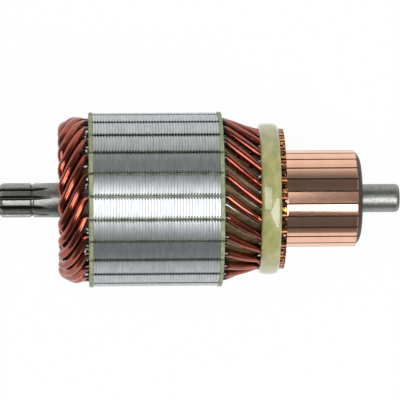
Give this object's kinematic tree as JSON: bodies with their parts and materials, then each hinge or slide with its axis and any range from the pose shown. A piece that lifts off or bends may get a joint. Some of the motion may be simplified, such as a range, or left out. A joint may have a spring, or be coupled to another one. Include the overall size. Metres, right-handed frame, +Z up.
{
  "type": "motor armature",
  "caption": "Armature of a small starter motor: toothed shaft, slotted laminated core, hairpin winding with a resin-glass binding band, and a moulded commutator.",
  "frame": {"origin": "on the shaft's axis, at the middle of the lamination stack", "axes": "+X along the shaft towards the commutator end journal, -X towards the toothed drive end; +Z up as it lies with its axis level, through the picture's line of sight"},
  "size_m": [0.1411, 0.0616, 0.0617],
  "materials": {
    "shaft_steel": "ground and oiled",
    "core_steel": "turned laminations",
    "plate_fibre": "satin fibre",
    "insulating_paper": "varnished",
    "band_resin": "glossy resin",
    "phenolic": "satin moulding",
    "enamelled_copper": "glossy enamel",
    "commutator_copper": "turned copper"
  },
  "bodies": {
    "root": {"shaft": "shaft_steel", "lamination_stack": "core_steel", "drive_end_plate": "plate_fibre", "commutator_end_plate": "plate_fibre", "slot_liners": "insulating_paper", "layer_insulation_drive_end": "insulating_paper", "layer_insulation_commutator_end": "insulating_paper", "binding_band": "band_resin", "commutator_moulding": "phenolic", "commutator_hub": "shaft_steel", "coil_01": "enamelled_copper", "coil_02": "enamelled_copper", "coil_03": "enamelled_copper", "coil_04": "enamelled_copper", "coil_05": "enamelled_copper", "coil_06": "enamelled_copper", "coil_07": "enamelled_copper", "coil_08": "enamelled_copper", "coil_09": "enamelled_copper", "coil_10": "enamelled_copper", "coil_11": "enamelled_copper", "coil_12": "enamelled_copper", "coil_13": "enamelled_copper", "coil_14": "enamelled_copper", "coil_15": "enamelled_copper", "coil_16": "enamelled_copper", "coil_17": "enamelled_copper", "coil_18": "enamelled_copper", "coil_19": "enamelled_copper", "coil_20": "enamelled_copper", "coil_21": "enamelled_copper", "coil_22": "enamelled_copper", "coil_23": "enamelled_copper", "coil_24": "enamelled_copper", "commutator_bar_01": "commutator_copper", "commutator_bar_02": "commutator_copper", "commutator_bar_03": "commutator_copper", "commutator_bar_04": "commutator_copper", "commutator_bar_05": "commutator_copper", "commutator_bar_06": "commutator_copper", "commutator_bar_07": "commutator_copper", "commutator_bar_08": "commutator_copper", "commutator_bar_09": "commutator_copper", "commutator_bar_10": "commutator_copper", "commutator_bar_11": "commutator_copper", "commutator_bar_12": "commutator_copper", "commutator_bar_13": "commutator_copper", "commutator_bar_14": "commutator_copper", "commutator_bar_15": "commutator_copper", "commutator_bar_16": "commutator_copper", "commutator_bar_17": "commutator_copper", "commutator_bar_18": "commutator_copper", "commutator_bar_19": "commutator_copper", "commutator_bar_20": "commutator_copper", "commutator_bar_21": "commutator_copper", "commutator_bar_22": "commutator_copper", "commutator_bar_23": "commutator_copper", "commutator_bar_24": "commutator_copper"}
  },
  "joints": []
}
